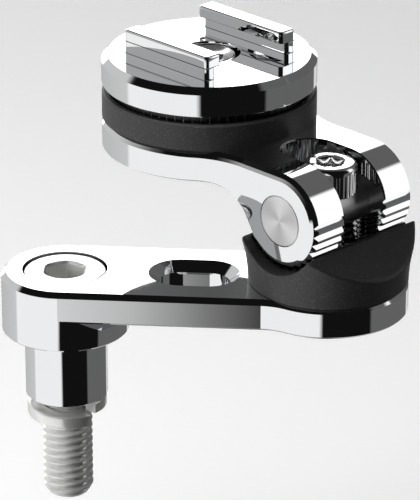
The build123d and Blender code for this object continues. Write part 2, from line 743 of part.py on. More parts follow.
head_plate.part.label = "head_plate"

# ---------------------------------------------------------------- export
os.makedirs("parts", exist_ok=True)
for piece in (
    mounting_bolt,
    spacer_sleeve,
    lock_washer,
    lower_arm,
    clamp_nut,
    swivel_ring,
    saddle,
    saddle_liner,
    cross_pin,
    clamp_screw,
    yoke,
    head_nut,
    collar,
    collar_dowels,
    pivot_sleeve,
    thrust_washer,
    head_screw,
    index_ring,
    ring_screws,
    detent_balls,
    detent_springs,
    head_plate,
):
    export_step(piece.part, "parts/" + piece.part.label + ".step")
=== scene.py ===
import json
from math import cos, pi, radians, sin, tan
import bpy
import numpy as np
from bpy.props import FloatProperty, FloatVectorProperty, IntProperty, PointerProperty
from mathutils import Matrix, Vector

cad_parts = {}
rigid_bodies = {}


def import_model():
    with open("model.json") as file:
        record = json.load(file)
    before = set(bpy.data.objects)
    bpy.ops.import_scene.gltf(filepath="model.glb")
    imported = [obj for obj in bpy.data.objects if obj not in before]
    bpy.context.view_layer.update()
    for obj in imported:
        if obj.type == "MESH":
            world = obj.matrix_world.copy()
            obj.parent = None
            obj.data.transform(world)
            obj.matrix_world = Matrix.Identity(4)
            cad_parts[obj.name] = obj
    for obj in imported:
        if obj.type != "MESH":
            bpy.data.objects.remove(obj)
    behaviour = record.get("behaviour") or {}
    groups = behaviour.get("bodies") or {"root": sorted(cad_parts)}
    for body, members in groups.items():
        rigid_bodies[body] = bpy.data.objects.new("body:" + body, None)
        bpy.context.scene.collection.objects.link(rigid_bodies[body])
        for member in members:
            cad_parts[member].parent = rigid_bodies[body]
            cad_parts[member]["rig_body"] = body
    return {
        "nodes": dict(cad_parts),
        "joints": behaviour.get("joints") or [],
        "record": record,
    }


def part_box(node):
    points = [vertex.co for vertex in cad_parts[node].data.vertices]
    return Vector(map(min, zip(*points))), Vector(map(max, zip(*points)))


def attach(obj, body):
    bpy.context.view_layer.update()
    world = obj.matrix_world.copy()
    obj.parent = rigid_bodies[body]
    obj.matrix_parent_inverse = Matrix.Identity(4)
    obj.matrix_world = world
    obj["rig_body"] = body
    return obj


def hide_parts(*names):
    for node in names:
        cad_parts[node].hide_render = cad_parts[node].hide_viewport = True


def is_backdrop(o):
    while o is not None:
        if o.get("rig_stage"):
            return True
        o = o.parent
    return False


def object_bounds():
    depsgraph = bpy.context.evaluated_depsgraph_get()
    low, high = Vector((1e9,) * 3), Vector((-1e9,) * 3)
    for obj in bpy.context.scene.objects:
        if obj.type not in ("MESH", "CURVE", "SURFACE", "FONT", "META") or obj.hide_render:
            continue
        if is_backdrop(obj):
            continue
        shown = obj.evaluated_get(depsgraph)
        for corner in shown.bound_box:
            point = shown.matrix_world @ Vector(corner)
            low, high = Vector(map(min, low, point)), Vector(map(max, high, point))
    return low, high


bl_info = {
    "name": "Handlebar Phone Mount",
    "version": (1, 0, 0),
    "blender": (4, 5, 0),
    "location": "View3D > Sidebar > Phone Mount",
    "description": "Finishes and finely detailed pieces of a chromed handlebar mount for a phone",
    "category": "Object",
}

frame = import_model()
MM = 0.001
TURN = 2 * pi
JOINTS = {joint["name"]: joint for joint in frame["joints"]}
MOUNTS = {mount["name"]: mount for mount in frame["record"]["mounts"]}


def hex_colour(text):
    """A linear RGB triple from an sRGB hex value such as 'c8c8c8'."""
    shares = [int(text[i:i + 2], 16) / 255 for i in (0, 2, 4)]
    return tuple(s / 12.92 if s <= 0.04045 else ((s + 0.055) / 1.055) ** 2.4 for s in shares)


def colour_property(name, text, what):
    """A colour a user can change, with its default given as sRGB hex."""
    return FloatVectorProperty(
        name=name, description=what, subtype="COLOR", size=3, min=0, max=1, default=hex_colour(text)
    )


def length_property(name, mm, what):
    """A length a user can change, with its default given in millimetres."""
    return FloatProperty(name=name, description=what, unit="LENGTH", subtype="DISTANCE", default=mm * MM)


class MountSizes(bpy.types.PropertyGroup):
    """Sizes of the detail that the finely made pieces carry."""

    m8_pitch: length_property("M8 pitch", 1.25, "Rise of the mounting screw's thread in one turn")
    m8_depth: length_property("M8 thread depth", 0.62, "Depth of the mounting screw's thread")
    m5_pitch: length_property("M5 pitch", 0.8, "Rise of the clamp screw's thread in one turn")
    m5_depth: length_property("M5 thread depth", 0.42, "Depth of the clamp screw's thread")
    knurl_count: IntProperty(name="Knurl ribs", description="Ribs round the clamp screw's head", default=34)
    knurl_depth: length_property("Knurl depth", 0.09, "Depth between the ribs of the clamp screw's head")
    slit_count: IntProperty(name="Index slits", description="Slits round the index ring", default=72)
    slit_width: length_property("Slit width", 0.17, "Width of one slit of the index ring")
    slit_depth: length_property("Slit depth", 0.2, "Depth of one slit of the index ring")
    rim_round: length_property("Saddle rim round", 0.5, "Rounding of the saddle's upper rim")


class MountFinishes(bpy.types.PropertyGroup):
    """Colours of the finishes."""

    chrome: colour_property("Chrome", "f2f3f4", "Bright chrome plate")
    zinc: colour_property("Zinc", "f4f4f2", "Satin zinc plate on steel")
    steel: colour_property("Steel", "ececec", "Turned stainless steel")
    nylon: colour_property("Nylon", "343434", "Glass-filled nylon")
    acetal: colour_property("Acetal", "0a0a0b", "Black acetal")
    # Painted glint: the slits' floor is a pale matt colour standing in for the metal's reflection.
    slit: colour_property("Slit", "c9c9c9", "Bright floor of the index slits")


# ------------------------------------------------------------------ surfaces
BROAD_FACE_WEIGHT = 90
SMOOTH_UP_TO_DEGREES = 32.0

# Share of a screw's radius at the end of its tip: inside the lead-in chamfer, and at its edge.
TIP_SHARES = (0.3, 0.75)


def grid_piece(name, rings, close_along=False, smooth_angle=SMOOTH_UP_TO_DEGREES):
    """A skin over rings of points, an array of rings x points x 3, in metres.

    Each ring is closed on itself. The ring order runs so that faces point outwards. Unless the
    last ring joins the first, both ends are closed by a fan round the end ring's middle point.
    """
    count, around = rings.shape[:2]
    points = rings.reshape(-1, 3)
    low = np.arange(count if close_along else count - 1)[:, None]
    high = (low + 1) % count
    here = np.arange(around)[None, :]
    after = (here + 1) % around
    corners = (low * around + here, low * around + after, high * around + after, high * around + here)
    quads = np.stack(corners, axis=-1).reshape(-1, 4)
    faces = quads.tolist()
    if not close_along:
        first, last = len(points), len(points) + 1
        points = np.vstack([points, rings[0].mean(axis=0), rings[-1].mean(axis=0)])
        here, after = here[0], after[0]
        base = (count - 1) * around
        start_fan = np.stack([np.full(around, first), after, here], axis=-1)
        end_fan = np.stack([np.full(around, last), base + here, base + after], axis=-1)
        faces += start_fan.tolist() + end_fan.tolist()
    mesh = bpy.data.meshes.new(name)
    mesh.from_pydata(points.tolist(), [], faces)
    mesh.shade_smooth()
    mesh.set_sharp_from_angle(angle=radians(smooth_angle))
    mesh.update()
    piece = bpy.data.objects.new(name, mesh)
    bpy.context.scene.collection.objects.link(piece)
    # Broad faces keep their own normals, so that a mirror finish doesn't bend beside small rounds.
    flat_faces = piece.modifiers.new("flat_faces", "WEIGHTED_NORMAL")
    flat_faces.mode = "FACE_AREA"
    flat_faces.weight = BROAD_FACE_WEIGHT
    flat_faces.keep_sharp = True
    return piece


def hexagon_share(angles, share):
    """Radius factor that turns a circle (share 0) into a hexagon of the same width (share 1).

    A hexagon's edge lies at 1 / cos(a) of its half width, with a the angle from the edge's middle.
    """
    nearest = (angles + pi / 6) % (pi / 3) - pi / 6
    return 1 + share * (1 / np.cos(nearest) - 1)


def turned_rings(profile, angles, centre, ribs=0, rib_depth=0.0, rib_rows=()):
    """Rings of a turned piece about an upright axis at centre.

    profile rows are (radius, height, hexagon share). A ring is the row's radius times the hexagon
    factor. Rows named in rib_rows lose rib_depth x (1 - |sin|) between ribs.
    """
    rows = np.array(profile, float)
    radius = rows[:, :1] * hexagon_share(angles[None, :], rows[:, 2:3])
    for row in rib_rows:
        radius[row] -= rib_depth * (1 - np.abs(np.sin(angles * ribs / 2)))
    x = centre[0] + radius * np.cos(angles)
    y = centre[1] + radius * np.sin(angles)
    z = np.broadcast_to(rows[:, 1:2], x.shape)
    return np.stack([x, y, z], axis=-1)


def thread_rings(radius, depth, pitch, low, high, angles, centre, rows_per_turn=14):
    """Rings of a right-hand screw thread about an upright axis, from height low to high.

    The phase is height / pitch - angle / turn. Within a turn the flank is a triangle wave cut
    flat at crest and root, so radius = crest - depth x clip(steepness x wave - crest cut). Over
    the lowest pitch it narrows, as the lead-in chamfer does.
    """
    steepness, crest_cut, chamfer_depth = 2.6, 0.25, 1.35 * depth
    heights = np.arange(low, high, pitch / rows_per_turn)[:, None]
    phase = (heights / pitch - angles[None, :] / TURN) % 1.0
    wave = np.clip(np.abs(phase - 0.5) * steepness - crest_cut, 0, 1)
    lead = np.clip((heights - low) / pitch, 0, 1)
    ring_radius = radius - depth * wave
    lead_radius = radius - chamfer_depth * (1 - lead)
    ring_radius = np.minimum(ring_radius, lead_radius)
    x = centre[0] + ring_radius * np.cos(angles)
    y = centre[1] + ring_radius * np.sin(angles)
    z = np.broadcast_to(heights, x.shape)
    return np.stack([x, y, z], axis=-1)


def finish_piece(piece, node, slot, *materials):
    """Lets a piece stand for a CAD node, ride on its body and take its finish."""
    for material in materials:
        piece.data.materials.append(material)
    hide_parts(node)
    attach(piece, frame["nodes"][node]["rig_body"])


# ------------------------------------------------------------------ materials
def add_node(tree, kind, links=(), **settings):
    """Adds a node, sets its values and joins inputs to outputs of earlier nodes.

    links holds (input, node, output). A setting that isn't a property of the node is an input.
    The setting stops is a ramp's list of (position, grey value).
    """
    node = tree.nodes.new(kind)
    for key, value in settings.items():
        label = key.replace("_", " ")
        if key == "stops":
            elements = node.color_ramp.elements
            elements.remove(elements[-1])
            elements[0].position, grey = value[0]
            elements[0].color = (grey, grey, grey, 1)
            for position, grey in value[1:]:
                elements.new(position).color = (grey, grey, grey, 1)
        elif hasattr(node, key):
            setattr(node, key, value)
        else:
            node.inputs[label if label in node.inputs else label.title()].default_value = value
    for socket, source, output in links:
        tree.links.new(source.outputs[output], node.inputs[socket])
    return node


def blank_material(name):
    """A node material with a Principled shader wired to its output, and object coordinates."""
    material = bpy.data.materials.new(name)
    material.use_nodes = True
    tree = material.node_tree
    shader = tree.nodes["Principled BSDF"]
    place = add_node(tree, "ShaderNodeTexCoord")
    return material, tree, shader, place


def chrome_plate(name, base):
    """Decorative chrome over polished aluminium: a mirror with a faint polishing haze.

    The haze is patches about 6 mm wide where the roughness rises a little.
    """
    material, tree, shader, place = blank_material(name)
    haze = add_node(
        tree, "ShaderNodeTexNoise", [("Vector", place, "Object")], Scale=1 / (6 * MM), Detail=2.0
    )
    spread = add_node(
        tree, "ShaderNodeMapRange", [("Value", haze, "Fac")],
        From_Min=0.35, From_Max=0.7, To_Min=0.015, To_Max=0.04,
    )
    tree.links.new(spread.outputs["Result"], shader.inputs["Roughness"])
    tone_and_painted_highlight = add_node(tree, "ShaderNodeMix", [("Factor", haze, "Fac")], data_type="RGBA")
    tone_and_painted_highlight.inputs["A"].default_value = (*base, 1)
    tone_and_painted_highlight.inputs["B"].default_value = (*[c * 0.97 for c in base], 1)
    tree.links.new(tone_and_painted_highlight.outputs["Result"], shader.inputs["Base Color"])
    shader.inputs["Metallic"].default_value = 1.0
    return material


def satin_metal(name, base, metallic, rough_low, rough_high, grain_mm):
    """Satin or turned metal, bright but blurred: faint patches of grain_mm vary the gloss.

    A metallic share under 1 adds a matt part, which keeps the metal pale where the studio is dark.
    """
    material, tree, shader, place = blank_material(name)
    grain = add_node(
        tree, "ShaderNodeTexNoise", [("Vector", place, "Object")], Scale=1 / (grain_mm * MM), Detail=4.0
    )
    spread = add_node(
        tree, "ShaderNodeMapRange", [("Value", grain, "Fac")],
        From_Min=0.3, From_Max=0.7, To_Min=rough_low, To_Max=rough_high,
    )
    tree.links.new(spread.outputs["Result"], shader.inputs["Roughness"])
    tone_and_painted_highlight = add_node(tree, "ShaderNodeMix", [("Factor", grain, "Fac")], data_type="RGBA")
    tone_and_painted_highlight.inputs["A"].default_value = (*base, 1)
    tone_and_painted_highlight.inputs["B"].default_value = (*[c * 0.93 for c in base], 1)
    tree.links.new(tone_and_painted_highlight.outputs["Result"], shader.inputs["Base Color"])
    shader.inputs["Metallic"].default_value = metallic
    return material


def spun_steel(name, base):
    """Face-turned stainless steel: rings too fine to see throw light into a fan of pale spokes, painted in.

    The spokes are painted highlights, a sine of the angle about the cross pin's axis, three pale and
    three darker ones to the turn. They are painted into the colour and stay where they are as the light
    moves.
    """
    material, tree, shader, place = blank_material(name)
    low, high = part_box("cross_pin")
    middle = (low + high) / 2
    axis = Vector(JOINTS["yoke_tilt"]["axis"])
    turn = axis.to_track_quat("Z", "Y").inverted().to_matrix().to_4x4() @ Matrix.Translation(-middle)
    mapping = add_node(tree, "ShaderNodeMapping", [("Vector", place, "Object")])
    mapping.inputs["Location"].default_value = turn.to_translation()
    mapping.inputs["Rotation"].default_value = turn.to_euler()
    fan = add_node(tree, "ShaderNodeTexGradient", [("Vector", mapping, "Vector")], gradient_type="RADIAL")
    # Painted highlight: pale and darker spokes by angle about the pin's axis scale the base colour.
    spokes = add_node(tree, "ShaderNodeMath", [(0, fan, "Fac")], operation="MULTIPLY")
    spokes.inputs[1].default_value = 3 * TURN
    wave = add_node(tree, "ShaderNodeMath", [(0, spokes, "Value")], operation="SINE")
    tone_and_painted_highlight = add_node(
        tree, "ShaderNodeMapRange", [("Value", wave, "Value")],
        From_Min=-1.0, From_Max=1.0, To_Min=0.72, To_Max=1.0,
    )
    spoke_painted_highlight = add_node(tree, "ShaderNodeVectorMath", [(1, tone_and_painted_highlight, "Result")], operation="MULTIPLY")
    spoke_painted_highlight.inputs[0].default_value = base
    tree.links.new(spoke_painted_highlight.outputs["Vector"], shader.inputs["Base Color"])
    grain = add_node(tree, "ShaderNodeTexNoise", [("Vector", mapping, "Vector")], Scale=1 / (2 * MM))
    spread = add_node(
        tree, "ShaderNodeMapRange", [("Value", grain, "Fac")],
        From_Min=0.3, From_Max=0.7, To_Min=0.3, To_Max=0.36,
    )
    tree.links.new(spread.outputs["Result"], shader.inputs["Roughness"])
    shader.inputs["Metallic"].default_value = 0.7
    return material


def moulded_plastic(name, base, speckle, roughness, grain_mm, bump_mm):
    """Moulded plastic: a soft sheen, glass or pigment specks and a fine moulded grain.

    The specks are the peaks of a noise of grain_mm. Real specks and grain are finer; they are
    drawn as coarse as they need to be to show.
    """
    material, tree, shader, place = blank_material(name)
    grain = add_node(
        tree, "ShaderNodeTexNoise", [("Vector", place, "Object")], Scale=1 / (grain_mm * MM), Detail=3.0
    )
    specks = add_node(
        tree, "ShaderNodeValToRGB", [("Fac", grain, "Fac")], stops=[(0.0, 0.0), (0.58, 0.0), (0.72, 1.0)]
    )
    tone_and_painted_highlight = add_node(tree, "ShaderNodeMix", [("Factor", specks, "Color")], data_type="RGBA")
    tone_and_painted_highlight.inputs["A"].default_value = (*base, 1)
    tone_and_painted_highlight.inputs["B"].default_value = (*speckle, 1)
    tree.links.new(tone_and_painted_highlight.outputs["Result"], shader.inputs["Base Color"])
    spread = add_node(
        tree, "ShaderNodeMapRange", [("Value", grain, "Fac")],
        From_Min=0.3, From_Max=0.7, To_Min=roughness - 0.05, To_Max=roughness + 0.08,
    )
    tree.links.new(spread.outputs["Result"], shader.inputs["Roughness"])
    bump = add_node(
        tree, "ShaderNodeBump", [("Height", grain, "Fac")], Strength=0.35, Distance=bump_mm * MM
    )
    tree.links.new(bump.outputs["Normal"], shader.inputs["Normal"])
    shader.inputs["IOR"].default_value = 1.53
    return material


# Each finish: its material's name, the function that makes it, its colour and what else it takes.
FINISHES = {
    "chrome_plate": ("bright_chrome_plate", chrome_plate, "chrome", ()),
    # The cross pin's turned steel has painted highlight spokes in its base colour.
    "spun_steel": ("face_turned_steel", spun_steel, "steel", ()),
    "zinc_plated_steel": ("satin_zinc_plate", satin_metal, "zinc", (0.55, 0.2, 0.26, 1.2)),
    "stainless_steel": ("turned_stainless_steel", satin_metal, "steel", (1.0, 0.12, 0.16, 1.2)),
    # Painted glint: a pale matt plastic on the slits' floor in place of the metal's reflection.
    "slit_metal": (
        "bright_slit_metal", moulded_plastic, "slit", (hex_colour("b4b4b4"), 0.3, 0.3, 0.002)
    ),
    "glass_filled_nylon": (
        "speckled_nylon", moulded_plastic, "nylon", (hex_colour("5c5c5c"), 0.5, 0.22, 0.02)
    ),
    "black_acetal": (
        "smooth_black_acetal", moulded_plastic, "acetal", (hex_colour("161617"), 0.32, 0.4, 0.01)
    ),
}


def finish(name):
    """The material of a finish, made the first time it is asked for."""
    title, make, colour, rest = FINISHES[name]
    if title in bpy.data.materials:
        return bpy.data.materials[title]
    return make(title, tuple(getattr(bpy.context.scene.mount_finishes, colour)), *rest)


# ------------------------------------------------------------------ operators
class MOUNT_OT_cad_finishes(bpy.types.Operator):
    """Gives each CAD node the finish that its record slot names"""

    bl_idname = "mount.cad_finishes"
    bl_label = "Finish the CAD pieces"

    def execute(self, context):
        for row in frame["record"]["subparts"]:
            # The cross pin takes turned steel with painted highlight spokes in its colour.
            name = "spun_steel" if row["node"] == "cross_pin" else row["material_slot"]
            mesh = frame["nodes"][row["node"]].data
            mesh.materials.clear()
            mesh.materials.append(finish(name))
        return {"FINISHED"}


class MOUNT_OT_mounting_screw(bpy.types.Operator):
    """Makes the M8 cap screw with its rolled thread, chamfered head and hexagon socket"""

    bl_idname = "mount.mounting_screw"
    bl_label = "Mounting screw"

    def execute(self, context):
        sizes = context.scene.mount_sizes
        low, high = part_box("mounting_bolt")
        centre = ((low.x + high.x) / 2, (low.y + high.y) / 2)
        radius = MOUNTS["clamp_thread"]["dims"]["r_mm"] * MM
        head = (high.x - low.x) / 2
        seat = high.z - 2 * radius
        # The head is shown a little higher than the CAD solid, nearly level with the arm's top.
        crown = high.z + 0.4 * MM
        angles = np.linspace(0, TURN, 96, endpoint=False)
        tip = turned_rings([(radius * 0.3, low.z, 0), (radius * 0.78, low.z, 0)], angles, centre)
        crest = radius - 0.02 * MM
        thread = thread_rings(crest, sizes.m8_depth, sizes.m8_pitch, low.z, seat, angles, centre)
        bevel = 0.5 * MM
        socket = 3.0 * MM
        mouth = 0.25 * MM
        floor = crown - 4.0 * MM
        cap = turned_rings(
            [
                (radius * 0.98, seat, 0), (head - 0.2 * MM, seat, 0), (head, seat + 0.2 * MM, 0),
                (head, crown - bevel, 0), (head - bevel * 0.3, crown - bevel * 0.3, 0),
                (head - bevel, crown, 0), (socket + 2.2 * mouth, crown, 0),
                (socket + mouth, crown - mouth * 0.4, 0.8), (socket, crown - 1.6 * mouth, 1),
                (socket, floor, 1), (socket * 0.6, floor - 0.15 * MM, 0.5),
                (socket * 0.1, floor - 0.8 * MM, 0),
            ],
            angles, centre,
        )
        piece = grid_piece("mounting_screw_detailed", np.concatenate([tip, thread, cap]))
        finish_piece(piece, "mounting_bolt", "zinc_plated_steel", finish("zinc_plated_steel"))
        return {"FINISHED"}


class MOUNT_OT_lock_washer(bpy.types.Operator):
    """Makes the split spring washer: a square wire with rounded edges, wound left-handed"""

    bl_idname = "mount.lock_washer"
    bl_label = "Spring washer"

    def execute(self, context):
        low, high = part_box("lock_washer")
        centre = Vector(((low.x + high.x) / 2, (low.y + high.y) / 2, low.z))
        outer = (high.x - low.x) / 2
        wide, thick, edge = 2.2 * MM, 2.0 * MM, 0.28 * MM
        gap = radians(8.0)
        start = radians(-46.0)
        turn = np.linspace(0, 1, 140)
        angles = start - turn * (TURN - gap)
        rise = turn * (high.z - low.z - thick)
        # The section is a rectangle with quarter-round corners.
        quarter = np.linspace(0, pi / 2, 5)
        corners = [(1, 1, 0), (-1, 1, 1), (-1, -1, 2), (1, -1, 3)]
        across, up = np.concatenate([
            np.stack([
                sx * (wide / 2 - edge) + edge * np.cos(quarter + k * pi / 2),
                sy * (thick / 2 - edge) + edge * np.sin(quarter + k * pi / 2),
            ], axis=-1)
            for sx, sy, k in corners
        ]).T
        radius = outer - wide / 2 + across[None, :]
        x = centre.x + radius * np.cos(angles)[:, None]
        y = centre.y + radius * np.sin(angles)[:, None]
        z = centre.z + thick / 2 + rise[:, None] + up[None, :]
        piece = grid_piece("lock_washer_detailed", np.stack([x, y, z], axis=-1)[::-1])
        finish_piece(piece, "lock_washer", "zinc_plated_steel", finish("zinc_plated_steel"))
        return {"FINISHED"}


class MOUNT_OT_clamp_screw(bpy.types.Operator):
    """Makes the M5 clamp screw with its knurled head, hexagon socket and threaded shank"""

    bl_idname = "mount.clamp_screw"
    bl_label = "Clamp screw"

    def execute(self, context):
        sizes = context.scene.mount_sizes
        low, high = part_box("clamp_screw")
        centre = ((low.x + high.x) / 2, (low.y + high.y) / 2)
        # A hair smaller than the CAD solid, to stay clear of the yoke's slot at full tilt.
        head = (high.x - low.x) / 2 - 0.03 * MM
        seat = high.z - 5.0 * MM
        radius = 2.5 * MM
        angles = np.linspace(0, TURN, sizes.knurl_count * 6, endpoint=False)
        tip = turned_rings([(radius * share, low.z, 0) for share in TIP_SHARES], angles, centre)
        thread = thread_rings(radius, sizes.m5_depth, sizes.m5_pitch, low.z, seat, angles, centre, 10)
        bevel = 0.75 * MM
        socket = 2.0 * MM
        floor = high.z - 2.5 * MM
        quarter = np.linspace(0, pi / 2, 6)
        rounded = [(head - bevel + bevel * cos(a), high.z - bevel + bevel * sin(a), 0) for a in quarter]
        profile = [
            (radius * 0.9, seat, 0), (head - 0.25 * MM, seat, 0), (head, seat + 0.25 * MM, 0),
            (head, seat + 0.4 * MM, 0), (head, high.z - 1.35 * MM, 0), (head, high.z - 1.15 * MM, 0),
            *rounded,
            (socket + 0.45 * MM, high.z, 0), (socket + 0.12 * MM, high.z - 0.15 * MM, 0.7),
            (socket, high.z - 0.4 * MM, 1), (socket, floor, 1),
            (socket * 0.2, floor - 0.2 * MM, 1), (socket * 0.1, floor - 0.25 * MM, 1),
        ]
        cap = turned_rings(profile, angles, centre, sizes.knurl_count, sizes.knurl_depth, rib_rows=(3, 4))
        piece = grid_piece("clamp_screw_detailed", np.concatenate([tip, thread, cap]))
        finish_piece(piece, "clamp_screw", "stainless_steel", finish("stainless_steel"))
        return {"FINISHED"}


class MOUNT_OT_head_screw(bpy.types.Operator):
    """Makes the centre screw of the head: a dished cap round a hexagon socket"""

    bl_idname = "mount.head_screw"
    bl_label = "Head screw"

    def execute(self, context):
        sizes = context.scene.mount_sizes
        low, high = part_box("head_screw")
        centre = ((low.x + high.x) / 2, (low.y + high.y) / 2)
        head = (high.x - low.x) / 2
        seat = high.z - 2.8 * MM
        radius = 2.5 * MM
        angles = np.linspace(0, TURN, 96, endpoint=False)
        tip = turned_rings([(radius * share, low.z, 0) for share in TIP_SHARES], angles, centre)
        thread = thread_rings(radius, sizes.m5_depth, sizes.m5_pitch, low.z, seat, angles, centre, 10)
        socket = 2.0 * MM
        dish = 0.35 * MM
        floor = high.z - 1.9 * MM
        cap = turned_rings(
            [
                (radius * 0.9, seat, 0), (head, seat, 0), (head, high.z - 0.25 * MM, 0),
                (head - 0.08 * MM, high.z - 0.08 * MM, 0), (head - 0.25 * MM, high.z, 0),
                (head * 0.8, high.z - dish * 0.45, 0), (head * 0.65, high.z - dish, 0),
                (socket + 0.15 * MM, high.z - dish * 1.25, 0.6), (socket, high.z - dish * 1.9, 1),
                (socket, floor, 1), (socket * 0.5, floor - 0.1 * MM, 0.4),
                (socket * 0.1, floor - 0.4 * MM, 0),
            ],
            angles, centre,
        )
        piece = grid_piece("head_screw_detailed", np.concatenate([tip, thread, cap]))
        finish_piece(piece, "head_screw", "stainless_steel", finish("stainless_steel"))
        return {"FINISHED"}


class MOUNT_OT_index_ring(bpy.types.Operator):
    """Makes the black index ring, cut by narrow upright slits with a painted glint on their floor"""

    bl_idname = "mount.index_ring"
    bl_label = "Index ring"

    def execute(self, context):
        sizes = context.scene.mount_sizes
        low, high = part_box("index_ring")
        centre = ((low.x + high.x) / 2, (low.y + high.y) / 2)
        outer = (high.x - low.x) / 2
        inner = outer - 4.3 * MM
        half_slit = sizes.slit_width / outer / 2
        step = TURN / sizes.slit_count
        wall = half_slit * 0.25
        # Around one tooth: two points on the slit's floor, then six along the block.
        block = np.linspace(half_slit + wall, step - half_slit - wall, 6)
        one = np.concatenate([[-half_slit, half_slit], block])
        angles = (np.arange(sizes.slit_count)[:, None] * step + one[None, :]).ravel()
        in_slit = np.tile([True, True] + [False] * 6, sizes.slit_count)
        outside = np.where(in_slit, outer - sizes.slit_depth, outer)
        edge = 0.08 * MM
        rows = [
            (inner, low.z), (outside - edge, low.z), (outside, low.z + edge),
            (outside, high.z - edge), (outside - edge, high.z), (inner, high.z),
        ]
        rings = np.stack([
            np.stack([
                centre[0] + radius * np.cos(angles),
                centre[1] + radius * np.sin(angles),
                np.full_like(angles, height),
            ], axis=-1)
            for radius, height in rows
        ])
        piece = grid_piece("index_ring_detailed", rings, close_along=True)
        finish_piece(
            piece, "index_ring", "black_acetal", finish("black_acetal"), finish("slit_metal")
        )
        # A face takes the painted glint where its own point and the next one both lie on a slit's floor.
        bright = in_slit & np.roll(in_slit, -1)
        piece.data.polygons.foreach_set("material_index", np.tile(bright, len(rows)).astype(np.int32))
        piece.data.update()
        return {"FINISHED"}


class MOUNT_OT_saddle(bpy.types.Operator):
    """Makes the moulded saddle with its flared wall, two slopes and rounded rim"""

    # The wall is a flared curve turned about the swivel axis: radius(s) = foot + flare x s -
    # bulge x 4 s (1 - s), with s the share of its height. The top is the lower one of a slope and
    # the trough's arc, softened where they cross, and depends only on the distance from the pin.
    # Each upright section joins wall and top by a quadratic curve over the rim.

    bl_idname = "mount.saddle"
    bl_label = "Saddle"

    def execute(self, context):
        sizes = context.scene.mount_sizes
        low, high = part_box("saddle")
        axis = Vector(JOINTS["base_swivel"]["pos_m"])
        pin = Vector(JOINTS["yoke_tilt"]["pos_m"])
        along = Vector(JOINTS["yoke_tilt"]["axis"])
        foot, flare, bulge = 12.5 * MM, 1.5 * MM, 0.35 * MM
        trough, lip_drop, slope = 8.2 * MM, 4.29 * MM, radians(38.0)
        lip = (trough**2 - lip_drop**2) ** 0.5
        tall = pin.z - lip_drop - low.z
        soft = 0.55 * MM

        def wall_radius(height):
            share = (height - low.z) / tall
            return foot + flare * share - bulge * 4 * share * (1 - share)

        def top_height(x, y):
            far = np.abs((x - axis.x) * along.y - (y - axis.y) * along.x)
            slope_height = pin.z - lip_drop - (far - lip) * tan(slope)
            arc = pin.z - np.sqrt(np.maximum(trough**2 - far**2, 0))
            blend = np.maximum(soft - np.abs(arc - slope_height), 0) / soft
            return np.minimum(arc, slope_height) - blend**2 * soft / 4

        angles = np.linspace(0, TURN, 360, endpoint=False)
        cosine, sine = np.cos(angles), np.sin(angles)

        def top_at(radius):
            return top_height(axis.x + radius * cosine, axis.y + radius * sine)

        # The height where wall and top would meet, found by closing in on it.
        rim = np.full_like(angles, low.z + tall / 2)
        for _ in range(12):
            rim = 0.5 * rim + 0.5 * top_at(wall_radius(rim))
        rim_radius = wall_radius(rim)
        rounding = sizes.rim_round
        foot_round = 0.2 * MM
        ring_in, ring_out, ring_up, bore = 5.95 * MM, 9.05 * MM, 0.5 * MM, 2.7 * MM
        flat = np.ones_like(angles)
        rows = [
            (bore * flat, low.z * flat), (ring_in * flat, low.z * flat),
            (ring_in * flat, (low.z + ring_up) * flat), (ring_out * flat, (low.z + ring_up) * flat),
            (ring_out * flat, low.z * flat), ((foot - foot_round) * flat, low.z * flat),
            ((foot - 0.3 * foot_round) * flat, (low.z + 0.3 * foot_round) * flat),
        ]
        for share in np.linspace(0, 1, 22):
            height = low.z + foot_round + share * (rim - rounding - low.z - foot_round)
            rows.append((wall_radius(height), height))
        start = (wall_radius(rim - rounding), rim - rounding)
        end = (rim_radius - rounding, top_at(rim_radius - rounding))
        for share in np.linspace(0.125, 1, 8):
            weights = ((1 - share) ** 2, 2 * share * (1 - share), share**2)
            rows.append(tuple(
                weights[0] * start[k] + weights[1] * (rim_radius, rim)[k] + weights[2] * end[k]
                for k in (0, 1)
            ))
        for share in np.linspace(0, 1, 110)[1:]:
            radius = end[0] + share * (bore - end[0])
            rows.append((radius, top_at(radius)))
        rings = np.stack([
            np.stack([axis.x + radius * cosine, axis.y + radius * sine, height], axis=-1)
            for radius, height in rows
        ])
        piece = grid_piece("saddle_detailed", rings, close_along=True)
        finish_piece(piece, "saddle", "glass_filled_nylon", finish("glass_filled_nylon"))
        return {"FINISHED"}


class MOUNT_OT_head_disc(bpy.types.Operator):
    """Makes the turning head's bevelled disc with the recess for its centre screw"""

    bl_idname = "mount.head_disc"
    bl_label = "Head disc"

    def execute(self, context):
        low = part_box("head_plate")[0]
        axis = Vector(JOINTS["head_turn"]["pos_m"])
        top = axis.z
        rim = axis.x - low.x
        bevel, edge = 1.0 * MM, 0.15 * MM
        recess, bore = 4.9 * MM, 3.5 * MM
        floor = top - 3.15 * MM
        angles = np.linspace(0, TURN, 256, endpoint=False)
        rows = [
            (bore, low.z, 0), (rim - edge, low.z, 0), (rim - edge * 0.3, low.z + edge * 0.3, 0),
            (rim, low.z + edge, 0), (rim, top - bevel, 0), (rim - bevel, top, 0),
            (recess + edge, top, 0), (recess + edge * 0.3, top - edge * 0.3, 0), (recess, top - edge, 0),
            (recess, floor, 0), (bore, floor, 0),
        ]
        rings = turned_rings(rows, angles, (axis.x, axis.y))
        piece = grid_piece("head_disc_detailed", rings, close_along=True)
        finish_piece(piece, "head_plate", "chrome_plate", finish("chrome_plate"))
        return {"FINISHED"}


